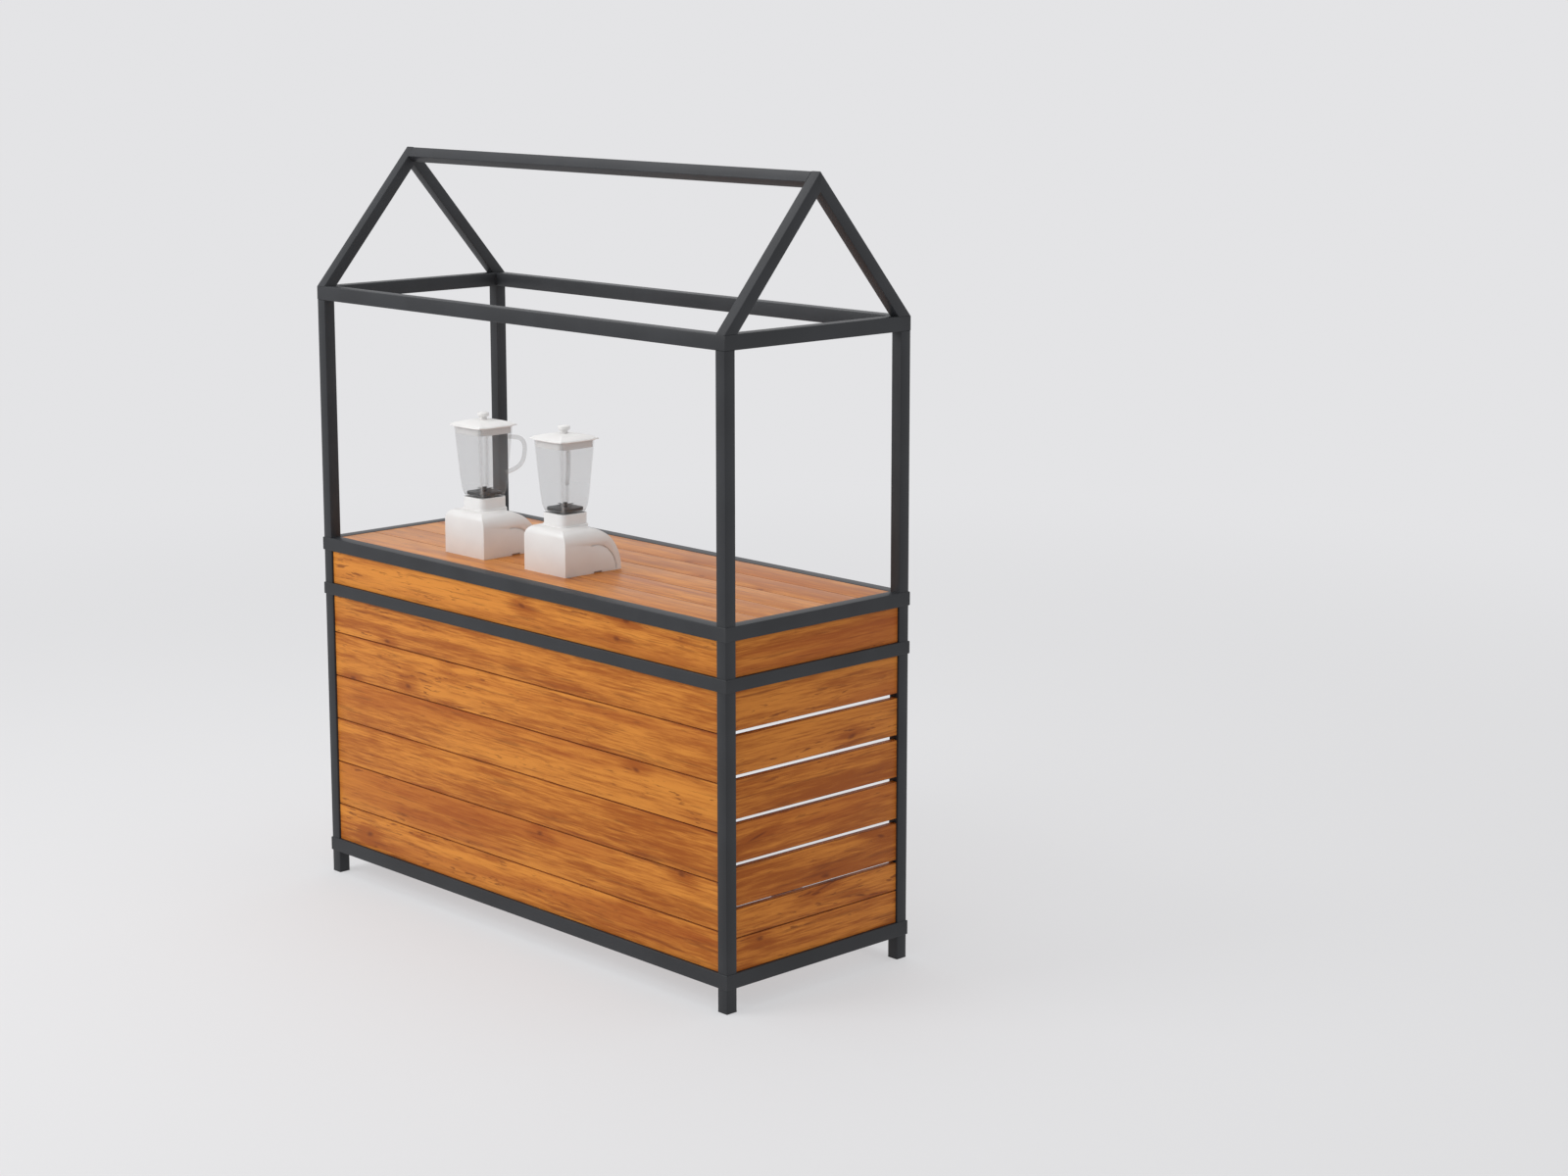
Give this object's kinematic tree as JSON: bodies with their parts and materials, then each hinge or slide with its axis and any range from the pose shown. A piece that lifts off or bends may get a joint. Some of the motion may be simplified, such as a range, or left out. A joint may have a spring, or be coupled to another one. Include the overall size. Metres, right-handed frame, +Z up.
{
  "type": "juice cart",
  "caption": "Open steel-framed juice cart with a house-shaped top frame, stained timber front and slatted ends, a planked worktop and blenders standing on it.",
  "frame": {"origin": "middle of the cart's footprint, on the floor", "axes": "+Z up; +Y from the boarded front to the open back, so customers stand at -Y; +X to the right end as seen from the front"},
  "size_m": [1.75, 0.67, 2.15],
  "materials": {
    "frame_steel": "satin anthracite powder coat",
    "stained_wood": "warm brown stain under satin varnish",
    "batten_wood": "planed softwood, light stain",
    "glide_plastic": "moulded black plastic",
    "white_plastic": "satin white moulded plastic",
    "clear_plastic": "clear moulded plastic",
    "black_rubber": "black rubber seat with steel blades"
  },
  "bodies": {
    "root": {"base_rail_front": "frame_steel", "base_rail_back": "frame_steel", "base_rail_left": "frame_steel", "base_rail_right": "frame_steel", "belt_rail_front": "frame_steel", "belt_rail_back": "frame_steel", "belt_rail_left": "frame_steel", "belt_rail_right": "frame_steel", "worktop_rail_front": "frame_steel", "worktop_rail_back": "frame_steel", "worktop_rail_left": "frame_steel", "worktop_rail_right": "frame_steel", "eave_rail_front": "frame_steel", "eave_rail_back": "frame_steel", "eave_rail_left": "frame_steel", "eave_rail_right": "frame_steel", "lower_post_front_left": "frame_steel", "lower_post_front_right": "frame_steel", "lower_post_back_left": "frame_steel", "lower_post_back_right": "frame_steel", "upper_post_front_left": "frame_steel", "upper_post_front_right": "frame_steel", "upper_post_back_left": "frame_steel", "upper_post_back_right": "frame_steel", "rafter_front_left": "frame_steel", "rafter_front_right": "frame_steel", "rafter_back_left": "frame_steel", "rafter_back_right": "frame_steel", "ridge": "frame_steel", "foot_glides": "glide_plastic", "front_boards": "stained_wood", "front_battens": "batten_wood", "left_slats": "stained_wood", "right_slats": "stained_wood", "apron_boards": "stained_wood", "worktop_planks": "stained_wood", "worktop_bearers": "batten_wood", "blender_base_left": "white_plastic", "blender_jar_left": "clear_plastic", "blender_blade_left": "black_rubber", "blender_lid_left": "white_plastic", "blender_base_right": "white_plastic", "blender_jar_right": "clear_plastic", "blender_blade_right": "black_rubber", "blender_lid_right": "white_plastic"}
  },
  "joints": []
}
